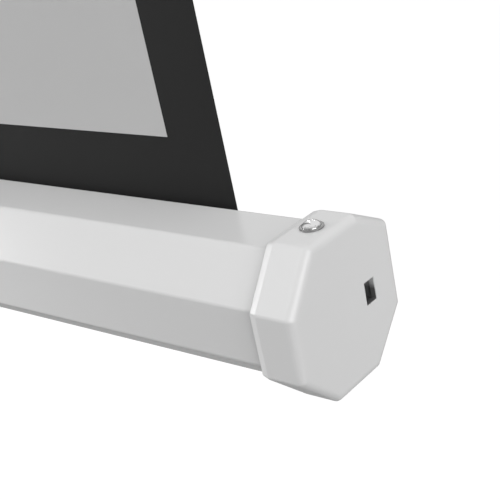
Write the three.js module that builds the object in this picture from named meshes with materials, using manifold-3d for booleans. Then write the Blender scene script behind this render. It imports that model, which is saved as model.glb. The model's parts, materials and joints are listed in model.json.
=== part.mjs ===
// Pull-up projection screen on a folding tripod stand.
// Millimetres, +Z up. The viewer stands on the -Y side and the floor is z = 0.
// The screen rolls up into an eight-sided case that swivels on a carriage, the carriage slides on
// the stand's outer pole, and the top slat hangs on the hook of the inner pole.
import * as THREE from "three";
import { mergeVertices } from "three/addons/utils/BufferGeometryUtils.js";
import Module from "manifold-3d";

// Fits shared by all pieces
const seatGap = 0.3;
const overrun = 4;
const slidingGap = 0.6;
const arcSteps = 2;
const bevelSteps = 2;
const roundSides = 24;
const smallRoundSides = 16;
const weldDistance = 1e-4;

// Screen fabric
const viewWidth = 1220;
const viewHeight = 915;
const borderWidth = 39;
const fabricThickness = 0.28;
const fabricInset = 85; // end face of the case to the side edge of the fabric
const viewBottomZ = 66.4; // above the axis of the case
const rollTurns = 3; // turns left on the roller when the screen is up

// Case and its end caps, measured across flats
const caseHalf = 36;
const caseWall = 1.2;
const caseCornerRadius = 3;
// Corners of the section that leave the regular octagon, as shares of half the width across flats
const shoulderShare = 0.667; // height of the rear shoulder
const browShare = 0.475; // reach of the top front corner
const bendShare = 0.358; // height of the front bend
const slotWidth = 7;
const capHalf = 41;
const capLength = 25;
const capEndWall = 2.6;
const capCornerRadius = 5.2;
const capFaceRadius = 4.4;
const capRimRadius = 4;
const windingHoleWidth = 9.3;
const windingHoleHeight = 14;

// Domed screw in the top of each cap
const screwInset = 12.3; // end face to screw axis
const screwForward = 1; // screw axis in front of the axis of the case
const screwHeadRadius = 6.5;
const screwHeadHeight = 2.6;
const screwShankRadius = 2;
const screwShankLength = 9;
const screwHeadEdge = 0.5; // upright edge under the dome
const screwDomeSteps = 4;
const recessSpan = 3.6;
const recessWidth = 1;
const recessDepth = 1.1;

// Spring roller, parallel to the axis of the case
const rollerY = 18;
const rollerZ = 0.5;
const tubeRadius = 10;
const tubeWall = 0.8;
const tubeInset = 30; // end face to roller tube end
const plugDepth = 24;
const plugFlange = 2.5;
const journalRadius = 3;
const bearingWidth = 20;
const bearingHeight = 26;
const bearingDepth = 17;
const socketDepth = 9;
const anchorLength = 12;
const springTurns = 24;
const springPitch = 6.4;
const springRadius = 6.2;
const springWireRadius = 0.8;
const springWireSides = 4;
const springStepsPerTurn = 6;

// Top slat, its hook and its pull handle
const slatThickness = 8;
const slatHeight = 20;
const slatWall = 1.4;
const slatOverhang = 10;
const slatCornerRadius = 3;
const grooveDepth = 6;
const slatCapLength = 6;
const slatCapPlug = 12;
const pullWidth = 96;
const pullHeight = 27;
const pullBar = 8;
const pullRadius = 7;
const pullBase = 6;
const pullSide = 10;
const pullBevel = 1.5;
const hookStrip = 2.5;
const hookWidth = 30;
const hookRise = 6;
const hookLip = 9;
const hookFoot = 14; // length of strip riveted to the slat

// Carry handle on top of the case
const handleLength = 136;
const handleHeight = 34;
const handleDepth = 20;
const handleBar = 9;
const handleFootLength = 22;
const handleRadius = 10;
const handleBevel = 2.5;
const handleTaper = 12;

// Swivel between the carriage and the case
const bossLength = 18;
const bossRadius = 16;
const washerThickness = 1.5;
const washerRadius = 14;
const swivelBoltRadius = 4;
const swivelHeadRadius = 7.5;
const swivelHeadHeight = 4.5;
const bracketWall = 2.5;
const bracketDepth = 10.5;
const bracketLength = 130;
const bracketWebHeight = 22;
const bracketFlange = 7;

// Carriage, clamp and knobs on the pole
const carriageHalf = 19.5;
const carriageHeight = 58;
const carriageRadius = 6;
const clampHalf = 19;
const clampBelow = 34;
const clampAbove = 20;
const knobRadius = 15;
const knobDepth = 12;
const knobLobes = 6;
const knobStepsPerLobe = 5;
const knobLobeDepth = 2;
const knobNeckRadius = 7;
const knobNeckLength = 6;
const knobBevel = 1.6;
const knobBossRadius = 9;
const knobBossLength = 5;
const stemRadius = 3;

// Poles
const caseHeight = 1080; // axis of the case over the floor
const poleHalf = 12.5;
const poleWall = 1.5;
const poleCornerRadius = 3;
const poleBottom = 140;
const poleAboveCase = 270; // top of the outer pole over the axis of the case
const innerWall = 1.2;
const innerCornerRadius = 2;
const poleOverlap = 240;
const plugHeight = 6;
const plugInsert = 16;
const bushHeight = 24;

// Hook at the top of the inner pole
const cleatReach = 20; // pole face to the near side of the upright lip
const cleatHeight = 14;
const topHookFoot = 34;
const topHookWidth = 24;

// Tripod
const hubHeight = 40;
const hubRadius = 20;
const hubPivotZ = 360;
const pivotRadius = 38; // leg pins from the pole axis
const footRadius = 400; // leg axis at the floor, from the pole axis
const cheekWall = 3;
const cheekRound = 9;
const legWide = 22;
const legThin = 12;
const legWall = 1.3;
const legTop = 9; // tube above its pin
const pinRadius = 3;
const pinHead = 1.6;
const pinHeadRadius = 4.6;
const footWall = 3.2;
const footGrip = 26;
const footSole = 13; // rubber past the end of the leg tube, along its axis
const braceLength = 195;
const braceAt = 240; // brace rivet from the leg pin, along the leg
const braceWide = 14;
const braceWall = 2.5;
const runnerHeight = 32;
const runnerRadius = 19.5;
const lugWall = 3;
const rivetRadius = 2.5;
const rivetHead = 1.8;
const rivetHeadRadius = 4.4;

// Sizes that follow from the ones above
const poleTop = caseHeight + poleAboveCase;
const innerHalf = poleHalf - poleWall - slidingGap;
const caseLength = viewWidth + 2 * (borderWidth + fabricInset);
const caseEndX = caseLength / 2;
const fabricWidth = viewWidth + 2 * borderWidth;
const rollInner = tubeRadius + seatGap;
const rollRadius = rollInner + rollTurns * fabricThickness;
const fabricY = rollerY + rollRadius - fabricThickness / 2;
const shellEndX = caseEndX - capEndWall - seatGap;
const slatBottom = viewBottomZ + viewHeight + borderWidth;
const slatTop = slatBottom + slatHeight;
const rearFlatMiddle = (caseHalf * shoulderShare - caseHalf * Math.tan(Math.PI / 8)) / 2;
const bossFrontY = -(carriageHalf + bossLength);
const webRearY = bossFrontY - washerThickness - 2 * seatGap;
const caseY = webRearY - bracketDepth - seatGap - caseHalf;
const pivotZ = caseHeight + rearFlatMiddle;
const cleatRearY = -(innerHalf + cleatReach);
const cleatTopZ = caseHeight + slatTop + hookRise - seatGap;
const armTopZ = cleatTopZ - cleatHeight;
const innerTop = armTopZ + hookStrip;
const innerBottom = poleTop - poleOverlap;
const legAngle = Math.atan2(footRadius - pivotRadius, hubPivotZ);
const legAxis = Math.hypot(footRadius - pivotRadius, hubPivotZ);
const braceRootRise = Math.sqrt(braceLength ** 2 - (braceAt * Math.sin(legAngle)) ** 2);
const runnerZ = hubPivotZ - braceAt * Math.cos(legAngle) + braceRootRise;
const braceAngle = Math.asin((braceAt * Math.sin(legAngle)) / braceLength);
const legDirections = [Math.PI / 2, -Math.PI / 6, (-5 * Math.PI) / 6];

const wasm = await Module();
wasm.setup();

const paint = (color, roughness, metalness = 0) =>
  new THREE.MeshStandardMaterial({ color, roughness, metalness });
const whitePaint = paint(0xd9d9da, 0.25);
const whitePlastic = paint(0xdededf, 0.35);
const chrome = paint(0xc8c8ca, 0.12, 1);
const zinc = paint(0xa9abae, 0.35, 1);
const blackPlastic = paint(0x1c1c1d, 0.5);
const rubber = paint(0x161616, 0.85);
const cloth = paint(0xb9babb, 0.8);
const aluminium = paint(0xc2c4c6, 0.3, 1);

// Turns a closed geometry into a solid that can be joined and cut.
function solid(geometry) {
  const bare = geometry.clone();
  bare.deleteAttribute("normal");
  bare.deleteAttribute("uv");
  const merged = mergeVertices(bare, weldDistance);
  return new wasm.Manifold(
    new wasm.Mesh({
      numProp: 3,
      vertProperties: new Float32Array(merged.attributes.position.array),
      triVerts: new Uint32Array(merged.index.array),
    }),
  );
}

// The geometry of a solid.
function surface(body) {
  const mesh = body.getMesh();
  const geometry = new THREE.BufferGeometry();
  geometry.setAttribute("position", new THREE.BufferAttribute(mesh.vertProperties, 3));
  geometry.setIndex(new THREE.BufferAttribute(mesh.triVerts, 1));
  geometry.computeVertexNormals();
  return geometry;
}

function addPiece(group, name, body, material) {
  const piece = new THREE.Mesh(surface(body), material);
  piece.name = name;
  group.add(piece);
  return piece;
}

// A polygon whose corners are arcs of one radius; points run anticlockwise.
function roundedShape(points, radius, Kind = THREE.Shape) {
  const path = new Kind();
  points.forEach((corner, i) => {
    const before = points[(i + points.length - 1) % points.length];
    const after = points[(i + 1) % points.length];
    const inward = before.clone().sub(corner).normalize();
    const outward = after.clone().sub(corner).normalize();
    const half = Math.acos(THREE.MathUtils.clamp(inward.dot(outward), -1, 1)) / 2;
    const start = corner.clone().addScaledVector(inward, radius / Math.tan(half));
    const bisector = inward.clone().add(outward).normalize();
    const centre = corner.clone().addScaledVector(bisector, radius / Math.sin(half));
    const end = corner.clone().addScaledVector(outward, radius / Math.tan(half));
    const from = Math.atan2(start.y - centre.y, start.x - centre.x);
    const to = Math.atan2(end.y - centre.y, end.x - centre.x);
    if (i === 0) path.moveTo(start.x, start.y);
    else path.lineTo(start.x, start.y);
    path.absarc(centre.x, centre.y, radius, from, to, false);
  });
  path.closePath();
  return path;
}

function rectangle(halfWidth, halfHeight, centreX = 0, centreY = 0) {
  return [
    new THREE.Vector2(centreX - halfWidth, centreY - halfHeight),
    new THREE.Vector2(centreX + halfWidth, centreY - halfHeight),
    new THREE.Vector2(centreX + halfWidth, centreY + halfHeight),
    new THREE.Vector2(centreX - halfWidth, centreY + halfHeight),
  ];
}

function polygon(points) {
  return new THREE.Shape(points.map(([x, y]) => new THREE.Vector2(x, y)));
}

function circle(radius, sides = roundSides) {
  const points = [];
  for (let i = 0; i < sides; i++) {
    const turn = (2 * Math.PI * i) / sides;
    points.push(new THREE.Vector2(radius * Math.cos(turn), radius * Math.sin(turn)));
  }
  return new THREE.Shape(points);
}

// A shape drawn in the plane of the two other axes, pushed along one axis from a start to an end.
// Along x the shape's axes are y and z, along y they are z and x, and along z they are x and y.
const frames = {
  x: [new THREE.Vector3(0, 1, 0), new THREE.Vector3(0, 0, 1), new THREE.Vector3(1, 0, 0)],
  y: [new THREE.Vector3(0, 0, 1), new THREE.Vector3(1, 0, 0), new THREE.Vector3(0, 1, 0)],
  z: [new THREE.Vector3(1, 0, 0), new THREE.Vector3(0, 1, 0), new THREE.Vector3(0, 0, 1)],
};

function push(shape, axis, from, to, bevel = 0) {
  const geometry = new THREE.ExtrudeGeometry(shape, {
    depth: to - from - 2 * bevel,
    curveSegments: arcSteps,
    bevelEnabled: bevel > 0,
    bevelThickness: bevel,
    bevelSize: bevel,
    bevelOffset: -bevel,
    bevelSegments: bevelSteps,
  });
  geometry.translate(0, 0, from + bevel);
  geometry.applyMatrix4(new THREE.Matrix4().makeBasis(...frames[axis]));
  return solid(geometry);
}

// A round bar or bore along one axis; a and b place its centre on the shape's two axes.
function bar(axis, radius, from, to, a = 0, b = 0, sides = roundSides) {
  const points = circle(radius, sides)
    .getPoints()
    .map((p) => p.add(new THREE.Vector2(a, b)));
  return push(new THREE.Shape(points), axis, from, to);
}

function block(minimum, maximum) {
  const size = maximum.map((m, i) => m - minimum[i]);
  const geometry = new THREE.BoxGeometry(...size);
  geometry.translate(...minimum.map((m, i) => m + size[i] / 2));
  return solid(geometry);
}

function moved(body, x, y, z) {
  return body.translate([x, y, z]);
}

function mirroredX(body) {
  return body.mirror([1, 0, 0]);
}

// Section of the case: an octagon with a shoulder at the rear and a steep slope at the front.
function caseSection(half) {
  const side = half * Math.tan(Math.PI / 8);
  return [
    new THREE.Vector2(-side, -half),
    new THREE.Vector2(side, -half),
    new THREE.Vector2(half, -side),
    new THREE.Vector2(half, half * shoulderShare),
    new THREE.Vector2(side, half),
    new THREE.Vector2(-half * browShare, half),
    new THREE.Vector2(-half, half * bendShare),
    new THREE.Vector2(-half, -side),
  ];
}

function squareTube(half, wall, radius, from, to) {
  const outline = roundedShape(rectangle(half, half), radius);
  outline.holes.push(roundedShape(rectangle(half - wall, half - wall), radius - wall / 2, THREE.Path));
  return push(outline, "z", from, to);
}

function squareBore(half, radius, from, to) {
  return push(roundedShape(rectangle(half, half), radius), "z", from, to);
}

// Bore for the outer pole through a piece that reaches this far up and down.
function poleBore(half) {
  return squareBore(poleHalf + seatGap, poleCornerRadius, -half - overrun, half + overrun);
}

// Folded steel shell, open along its rear shoulder for the fabric.
function caseShell() {
  const outline = roundedShape(caseSection(caseHalf), caseCornerRadius);
  const inside = roundedShape(
    caseSection(caseHalf - caseWall),
    caseCornerRadius - caseWall,
    THREE.Path,
  );
  outline.holes.push(inside);
  const slot = block(
    [-caseEndX, fabricY - slotWidth / 2, rollerZ + rollRadius],
    [caseEndX, fabricY + slotWidth / 2, caseHalf + overrun],
  );
  let shell = push(outline, "x", -shellEndX, shellEndX).subtract(slot);
  for (const side of [-1, 1]) {
    const x = side * (caseEndX - screwInset);
    shell = shell.subtract(
      bar("z", screwShankRadius + seatGap, 0, caseHalf + overrun, x, -screwForward, smallRoundSides),
    );
  }
  return shell;
}

// Moulded cap for the +X end: round face edge, eased rim, a winding hole in line with the roller.
function endCap() {
  const section = roundedShape(caseSection(capHalf), capCornerRadius);
  const faceRounded = push(section, "x", caseEndX - 2 * capLength, caseEndX, capFaceRadius);
  const rimRounded = push(section, "x", caseEndX - capLength, caseEndX + capLength, capRimRadius);
  const cavity = push(
    roundedShape(caseSection(caseHalf + seatGap), caseCornerRadius),
    "x",
    caseEndX - capLength - overrun,
    caseEndX - capEndWall,
  );
  const hole = push(
    roundedShape(rectangle(windingHoleWidth / 2, windingHoleHeight / 2, rollerY, rollerZ), seatGap),
    "x",
    caseEndX - capEndWall - overrun,
    caseEndX + overrun,
  );
  const screwBore = bar(
    "z",
    screwShankRadius + seatGap,
    0,
    capHalf + overrun,
    caseEndX - screwInset,
    -screwForward,
    smallRoundSides,
  );
  return faceRounded.intersect(rimRounded).subtract(cavity).subtract(hole).subtract(screwBore);
}

// Domed head turned from its profile, with a cross recess; the underside of the head is z = 0.
function capScrew() {
  const profile = [
    new THREE.Vector2(0, -screwShankLength),
    new THREE.Vector2(screwShankRadius, -screwShankLength),
    new THREE.Vector2(screwShankRadius, 0),
    new THREE.Vector2(screwHeadRadius, 0),
  ];
  const domeRise = screwHeadHeight - screwHeadEdge;
  for (let i = 0; i < screwDomeSteps; i++) {
    const turn = (i / screwDomeSteps) * (Math.PI / 2);
    const reach = screwHeadRadius * Math.cos(turn);
    profile.push(new THREE.Vector2(reach, screwHeadEdge + domeRise * Math.sin(turn)));
  }
  profile.push(new THREE.Vector2(0, screwHeadHeight));
  const head = new THREE.LatheGeometry(profile, roundSides);
  head.rotateX(Math.PI / 2);
  const recessBottom = screwHeadHeight - recessDepth;
  const slotAlong = (a, b) => block([-a, -b, recessBottom], [a, b, screwHeadHeight + overrun]);
  return solid(head)
    .subtract(slotAlong(recessSpan / 2, recessWidth / 2))
    .subtract(slotAlong(recessWidth / 2, recessSpan / 2));
}

// Plastic block behind the cap wall: a square socket outside, a round bearing inside.
function bearing() {
  const outerX = caseEndX - capEndWall - seatGap;
  const body = push(
    roundedShape(
      rectangle(bearingWidth / 2, bearingHeight / 2, rollerY, rollerZ),
      caseCornerRadius,
    ),
    "x",
    outerX - bearingDepth,
    outerX,
  );
  const halfWidth = windingHoleWidth / 2;
  const halfHeight = windingHoleHeight / 2;
  const socket = block(
    [outerX - socketDepth, rollerY - halfWidth, rollerZ - halfHeight],
    [outerX + overrun, rollerY + halfWidth, rollerZ + halfHeight],
  );
  const boreEnd = outerX - bearingDepth - overrun;
  const bore = bar("x", journalRadius + seatGap, boreEnd, outerX, rollerY, rollerZ);
  return body.subtract(socket).subtract(bore);
}

// Roller pieces lie on the roller axis, which is their own x axis.
const tubeEndX = caseEndX - tubeInset;
const journalEndX = caseEndX - capEndWall - socketDepth - 2 * seatGap;
const springOuterX = tubeEndX - plugDepth - seatGap - springWireRadius;
const springInnerX = springOuterX - springTurns * springPitch;
const anchorOuterX = springInnerX - springWireRadius - seatGap;

function rollerTube() {
  const outline = circle(tubeRadius);
  outline.holes.push(new THREE.Path(circle(tubeRadius - tubeWall).getPoints()));
  return push(outline, "x", -tubeEndX, tubeEndX);
}

function fabricRoll() {
  const outline = circle(rollRadius);
  outline.holes.push(new THREE.Path(circle(rollInner).getPoints()));
  return push(outline, "x", -fabricWidth / 2, fabricWidth / 2);
}

// Plug at the +X end of the roller tube.
function rollerPlug() {
  const flangeX = tubeEndX + seatGap;
  const insertRadius = tubeRadius - tubeWall - seatGap;
  return bar("x", insertRadius, tubeEndX - plugDepth, flangeX).add(
    bar("x", tubeRadius, flangeX, flangeX + plugFlange),
  );
}

function springPlug() {
  const bore = bar("x", journalRadius + seatGap, 0, caseEndX);
  return rollerPlug().subtract(bore);
}

function idlerPlug() {
  return rollerPlug().add(bar("x", journalRadius, tubeEndX, journalEndX));
}

function springShaft() {
  return bar("x", journalRadius, anchorOuterX - anchorLength / 2, journalEndX);
}

function springAnchor() {
  const insertRadius = tubeRadius - tubeWall - seatGap;
  const blindEnd = anchorOuterX - anchorLength / 2 - seatGap;
  return bar("x", insertRadius, anchorOuterX - anchorLength, anchorOuterX).subtract(
    bar("x", journalRadius + seatGap, blindEnd, anchorOuterX + overrun),
  );
}

// Torsion spring round the shaft: one unbroken wire on a helix.
class Helix extends THREE.Curve {
  getPoint(share, target = new THREE.Vector3()) {
    const turn = 2 * Math.PI * springTurns * share;
    return target.set(
      springOuterX - springTurns * springPitch * share,
      springRadius * Math.cos(turn),
      springRadius * Math.sin(turn),
    );
  }
}

function rollerSpring() {
  const wire = new THREE.ExtrudeGeometry(circle(springWireRadius, springWireSides), {
    steps: springTurns * springStepsPerTurn,
    extrudePath: new Helix(),
    bevelEnabled: false,
  });
  return solid(wire);
}

// The sheet hangs from the roll through the slot into the groove of the slat.
function screenFabric() {
  const chord = rollRadius ** 2 - (rollRadius - fabricThickness) ** 2;
  const bottom = rollerZ + Math.sqrt(chord) + seatGap;
  const top = slatBottom + grooveDepth - seatGap;
  const half = fabricThickness / 2;
  return block([-fabricWidth / 2, fabricY - half, bottom], [fabricWidth / 2, fabricY + half, top]);
}

const slatEndX = fabricWidth / 2 + slatOverhang;
const slatHollowBottom = slatBottom + grooveDepth + slatWall;
const slatHollowHalf = (slatTop - slatWall - slatHollowBottom) / 2;

// Outline of the slat's hollow, smaller all round by a clearance.
function slatHollow(clearance, Kind) {
  const centreZ = slatHollowBottom + slatHollowHalf;
  const outline = rectangle(
    slatThickness / 2 - slatWall - clearance,
    slatHollowHalf - clearance,
    fabricY,
    centreZ,
  );
  return roundedShape(outline, slatCornerRadius - slatWall, Kind);
}

function slatOutline() {
  const outline = rectangle(slatThickness / 2, slatHeight / 2, fabricY, slatBottom + slatHeight / 2);
  return roundedShape(outline, slatCornerRadius);
}

function topSlat() {
  const outline = slatOutline();
  outline.holes.push(slatHollow(0, THREE.Path));
  const grooveHalf = fabricThickness / 2 + seatGap;
  const groove = block(
    [-caseEndX, fabricY - grooveHalf, slatBottom - overrun],
    [caseEndX, fabricY + grooveHalf, slatBottom + grooveDepth],
  );
  return push(outline, "x", -slatEndX, slatEndX).subtract(groove);
}

function slatCap() {
  const faceX = slatEndX + seatGap;
  const plug = push(slatHollow(seatGap), "x", slatEndX - slatCapPlug, faceX);
  return plug.add(push(slatOutline(), "x", faceX, faceX + slatCapLength));
}

// Loop to pull the screen up by.
function pullHandle() {
  const bottom = slatTop + seatGap;
  const outer = rectangle(pullHeight / 2, pullWidth / 2, bottom + pullHeight / 2);
  const gapHeight = pullHeight - pullBase - pullBar;
  const gap = rectangle(gapHeight / 2, pullWidth / 2 - pullSide, bottom + pullBase + gapHeight / 2);
  const front = fabricY - slatThickness / 2;
  const rear = fabricY + slatThickness / 2;
  const grip = push(roundedShape(outer, pullRadius), "y", front, rear, pullBevel);
  return grip.subtract(
    push(roundedShape(gap, pullRadius - pullBevel), "y", front - overrun, rear + overrun),
  );
}

// Steel strip that rises behind the slat and bends over the lip of the pole's hook.
function slatHook() {
  const front = fabricY + slatThickness / 2 + seatGap;
  const lipFront = cleatRearY + seatGap - caseY;
  const under = slatTop + hookRise;
  return push(
    polygon([
      [front, slatTop - hookFoot],
      [front + hookStrip, slatTop - hookFoot],
      [front + hookStrip, under],
      [lipFront, under],
      [lipFront, under - hookLip],
      [lipFront + hookStrip, under - hookLip],
      [lipFront + hookStrip, under + hookStrip],
      [front, under + hookStrip],
    ]),
    "x",
    -hookWidth / 2,
    hookWidth / 2,
  );
}

// Moulded handle, an arch standing on the top face of the case.
function carryHandle() {
  const bottom = caseHalf + seatGap;
  const top = bottom + handleHeight;
  const half = handleLength / 2;
  const outer = [
    new THREE.Vector2(bottom, -half),
    new THREE.Vector2(top, handleTaper - half),
    new THREE.Vector2(top, half - handleTaper),
    new THREE.Vector2(bottom, half),
  ];
  const gapHalf = half - handleFootLength;
  const rise = (handleHeight - handleBar) / 2;
  const gap = rectangle(rise + overrun, gapHalf, bottom + rise - overrun);
  const arch = push(
    roundedShape(outer, handleBevel + seatGap),
    "y",
    -handleDepth / 2,
    handleDepth / 2,
    handleBevel,
  );
  const reach = handleDepth / 2 + overrun;
  return arch.subtract(push(roundedShape(gap, handleRadius), "y", -reach, reach));
}

// Pressed steel channel on the rear face of the case, with room inside for the head of the bolt.
function caseBracket() {
  const near = caseHalf + seatGap;
  const far = near + bracketDepth;
  const web = bracketWebHeight / 2;
  const outline = [
    [near, -web - bracketFlange],
    [near + bracketWall, -web - bracketFlange],
    [near + bracketWall, -web],
    [far, -web],
    [far, web],
    [near + bracketWall, web],
    [near + bracketWall, web + bracketFlange],
    [near, web + bracketFlange],
    [near, web - bracketWall],
    [far - bracketWall, web - bracketWall],
    [far - bracketWall, bracketWall - web],
    [near, bracketWall - web],
  ];
  const channel = push(polygon(outline), "x", -bracketLength / 2, bracketLength / 2);
  const bore = bar("y", swivelBoltRadius + seatGap, near, far + overrun);
  return moved(channel.subtract(bore), 0, 0, rearFlatMiddle);
}

// Pieces on the swivel axis, drawn with that axis through the origin of the x and z axes.
function swivelBolt() {
  const underHead = webRearY - bracketWall - seatGap;
  const head = bar("y", swivelHeadRadius, underHead - swivelHeadHeight, underHead, 0, 0, knobLobes);
  return head.add(bar("y", swivelBoltRadius, underHead, -(poleHalf + seatGap)));
}

function swivelWasher() {
  const rear = bossFrontY - seatGap;
  const front = rear - washerThickness;
  return bar("y", washerRadius, front, rear).subtract(
    bar("y", swivelBoltRadius + seatGap, front - overrun, rear + overrun),
  );
}

// A square collar with a boss for a knob on its rear face.
function collar(half, bottom, top, knobZ) {
  const body = push(roundedShape(rectangle(half, half), carriageRadius), "z", bottom, top);
  const boss = bar("y", knobBossRadius, 0, half + knobBossLength, knobZ, 0);
  const bore = bar("y", stemRadius + seatGap, 0, half + knobBossLength + overrun, knobZ, 0);
  return body.add(boss).subtract(bore);
}

function carriage() {
  const half = carriageHeight / 2;
  const boss = bar("y", bossRadius, bossFrontY, 0);
  const boltBore = bar("y", swivelBoltRadius + seatGap, bossFrontY - overrun, 0);
  return collar(carriageHalf, -half, half, 0)
    .add(boss)
    .subtract(boltBore)
    .subtract(poleBore(half));
}

function poleClamp() {
  const whole = collar(clampHalf, -clampBelow, clampAbove, clampAbove / 2);
  const lowerBore = squareBore(poleHalf + seatGap, poleCornerRadius, -clampBelow - overrun, seatGap);
  const upperBore = squareBore(innerHalf + seatGap, innerCornerRadius, 0, clampAbove + overrun);
  return whole.subtract(lowerBore).subtract(upperBore);
}

// Lobed knob with its threaded stem, on the y axis; the stem reaches from the pole to the neck.
function lockKnob(poleFace, bossFace) {
  const neck = bossFace + seatGap;
  const gripStart = neck + knobNeckLength;
  const points = [];
  const sides = knobStepsPerLobe * knobLobes;
  for (let i = 0; i < sides; i++) {
    const turn = (2 * Math.PI * i) / sides;
    const reach = knobRadius - (knobLobeDepth / 2) * (1 - Math.cos(knobLobes * turn));
    points.push(new THREE.Vector2(reach * Math.cos(turn), reach * Math.sin(turn)));
  }
  return bar("y", stemRadius, poleFace + seatGap, gripStart, 0, 0, smallRoundSides)
    .add(bar("y", knobNeckRadius, neck, gripStart))
    .add(push(new THREE.Shape(points), "y", gripStart, gripStart + knobDepth, knobBevel));
}

// Plastic end piece of a square tube: a plate outside and an insert inside, pointing up.
function tubeEnd(half, wall, radius, plate) {
  const insert = half - wall - seatGap;
  return squareBore(half, radius, -seatGap - plate, -seatGap).add(
    squareBore(insert, radius / 2, -seatGap, plugInsert),
  );
}

// Guide on the lower end of the inner pole that fills the outer pole.
function poleBush() {
  const guide = poleHalf - poleWall - seatGap;
  return squareBore(guide, innerCornerRadius, -seatGap - bushHeight, -seatGap).add(
    squareBore(innerHalf - innerWall - seatGap, innerCornerRadius / 2, -seatGap, plugInsert),
  );
}

// Steel strip riveted to the front of the inner pole, with an upright lip for the slat's hook.
function topHook() {
  const face = -(innerHalf + seatGap);
  const foot = armTopZ - topHookFoot;
  return push(
    polygon([
      [face, foot],
      [face, armTopZ],
      [cleatRearY, armTopZ],
      [cleatRearY, cleatTopZ],
      [cleatRearY - hookStrip, cleatTopZ],
      [cleatRearY - hookStrip, armTopZ - hookStrip],
      [face - hookStrip, armTopZ - hookStrip],
      [face - hookStrip, foot],
    ]),
    "x",
    -topHookWidth / 2,
    topHookWidth / 2,
  );
}

// A plate in the plane of the leg that ends round at the pin, from a side face to its other face.
function lug(near, far, round, pinBore) {
  const plate = block([poleHalf, near, -round], [pivotRadius, far, round]);
  return plate
    .add(bar("y", round, near, far, 0, pivotRadius, smallRoundSides))
    .subtract(bar("y", pinBore, near - overrun, far + overrun, 0, pivotRadius, smallRoundSides));
}

const cheekNear = legThin / 2 + seatGap;
const cheekFar = cheekNear + cheekWall;
const braceNear = legThin / 2 + seatGap;
const braceFar = braceNear + braceWall;
const lugNear = braceFar + seatGap;
const lugFar = lugNear + lugWall;

function turned(body, angle) {
  return body.rotate([0, 0, THREE.MathUtils.radToDeg(angle)]);
}

// Casting round the pole that carries the three legs between pairs of cheeks.
function legHub() {
  let hub = bar("z", hubRadius, -hubHeight / 2, hubHeight / 2);
  for (const direction of legDirections)
    for (const [near, far] of [
      [cheekNear, cheekFar],
      [-cheekFar, -cheekNear],
    ])
      hub = hub.add(turned(lug(near, far, cheekRound, pinRadius + seatGap), direction));
  return hub.subtract(poleBore(hubHeight / 2));
}

// Collar that slides under the hub and holds the upper ends of the braces.
function runner() {
  let ring = bar("z", runnerRadius, -runnerHeight / 2, runnerHeight / 2);
  for (const direction of legDirections)
    ring = ring.add(turned(lug(lugNear, lugFar, braceWide / 2, rivetRadius + seatGap), direction));
  return ring.subtract(poleBore(runnerHeight / 2));
}

// Leg pin across both cheeks, headed at both ends, on its own y axis.
function hubPin() {
  const under = cheekFar + seatGap;
  return bar("y", pinRadius, -under, under, 0, 0, smallRoundSides)
    .add(bar("y", pinHeadRadius, under, under + pinHead, 0, 0, smallRoundSides))
    .add(bar("y", pinHeadRadius, -under - pinHead, -under, 0, 0, smallRoundSides));
}

// Rivet from the inner face of a brace outwards, headed over the plate that ends at this face.
function braceRivet(face) {
  const under = face + seatGap;
  return bar("y", rivetRadius, braceNear, under, 0, 0, smallRoundSides).add(
    bar("y", rivetHeadRadius, under, under + rivetHead, 0, 0, smallRoundSides),
  );
}

function legOutline(outset, Kind) {
  const radius = legThin / 2 + outset - seatGap;
  return roundedShape(rectangle(legWide / 2 + outset, legThin / 2 + outset), radius, Kind);
}

// Oval leg tube, hanging down from its pin.
function legTube() {
  const outline = legOutline(0);
  outline.holes.push(legOutline(-legWall, THREE.Path));
  const reach = legThin / 2 + overrun;
  const bore = bar("y", pinRadius + seatGap, -reach, reach, 0, 0, smallRoundSides);
  return push(outline, "z", footSole - legAxis, legTop).subtract(bore);
}

// Rubber foot over the end of the leg, cut level where it stands on the floor.
function legFoot() {
  const tubeBottom = footSole - legAxis;
  const whole = push(legOutline(seatGap + footWall), "z", -legAxis - legWide, tubeBottom + footGrip);
  const socket = push(legOutline(seatGap), "z", tubeBottom - seatGap, overrun);
  const reach = legWide + legAxis;
  const underFloor = block([-reach, -legWide, -reach], [reach, legWide, 0])
    .translate([pivotRadius - footRadius, 0, 0])
    .translate([legAxis * Math.sin(legAngle), 0, -legAxis * Math.cos(legAngle)])
    .rotate([0, THREE.MathUtils.radToDeg(legAngle), 0]);
  return whole.subtract(socket).subtract(underFloor);
}

// Flat strap beside the leg, hanging down from its upper rivet.
function brace() {
  const half = braceWide / 2;
  const near = braceNear - overrun;
  const far = braceFar + overrun;
  const hole = (z) => bar("y", rivetRadius + seatGap, near, far, z, 0, smallRoundSides);
  return block([-half, braceNear, -braceLength], [half, braceFar, 0])
    .add(bar("y", half, braceNear, braceFar, 0, 0))
    .add(bar("y", half, braceNear, braceFar, -braceLength, 0))
    .subtract(hole(0))
    .subtract(hole(-braceLength));
}

function groupAt(parent, x = 0, y = 0, z = 0) {
  const group = new THREE.Group();
  group.position.set(x, y, z);
  parent.add(group);
  return group;
}

function addCase(screen) {
  const group = groupAt(screen, 0, caseY, caseHeight);
  addPiece(group, "case_shell", caseShell(), whitePaint);
  addPiece(group, "end_cap_right", endCap(), whitePlastic);
  addPiece(group, "end_cap_left", mirroredX(endCap()), whitePlastic);
  addPiece(group, "bearing_right", bearing(), blackPlastic);
  addPiece(group, "bearing_left", mirroredX(bearing()), blackPlastic);
  addPiece(group, "carry_handle", carryHandle(), blackPlastic);
  addPiece(group, "case_bracket", caseBracket(), zinc);
  for (const [name, side] of [
    ["cap_screw_right", 1],
    ["cap_screw_left", -1],
  ]) {
    const screw = addPiece(group, name, capScrew(), chrome);
    screw.position.set(side * (caseEndX - screwInset), -screwForward, capHalf + seatGap);
  }
  addPiece(group, "screen_fabric", screenFabric(), cloth);
  return group;
}

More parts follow.
